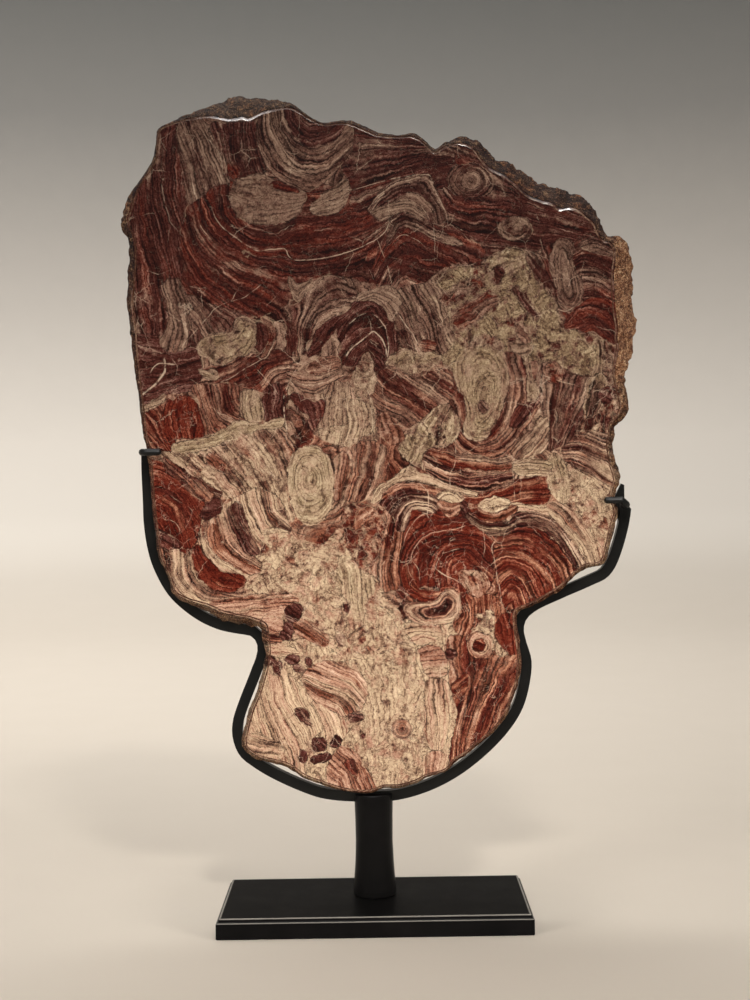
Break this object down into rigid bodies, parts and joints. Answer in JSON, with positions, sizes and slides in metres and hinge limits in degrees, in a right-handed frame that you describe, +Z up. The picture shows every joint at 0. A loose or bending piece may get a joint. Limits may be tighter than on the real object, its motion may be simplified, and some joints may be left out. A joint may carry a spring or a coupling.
{
  "type": "stromatolite slab on stand",
  "caption": "Polished, banded fossil stone slab held upright in a bent bracket, on a round post and a flat rectangular base.",
  "frame": {"origin": "centre of the base's underside, on the surface that the stand rests on", "axes": "+Z up, the slab's polished face looks along -Y, +X to the right of a viewer who faces it"},
  "size_m": [0.3409, 0.096, 0.5458],
  "materials": {
    "banded_stone": "semi-polished face with weathered, broken rim",
    "black_steel": "satin black paint",
    "black_wood": "satin black paint"
  },
  "bodies": {
    "root": {"slab": "banded_stone", "bracket": "black_steel", "front_prong_left": "black_steel", "front_prong_right": "black_steel", "back_prong_left": "black_steel", "back_prong_right": "black_steel", "post": "black_steel", "base": "black_wood"}
  },
  "joints": []
}
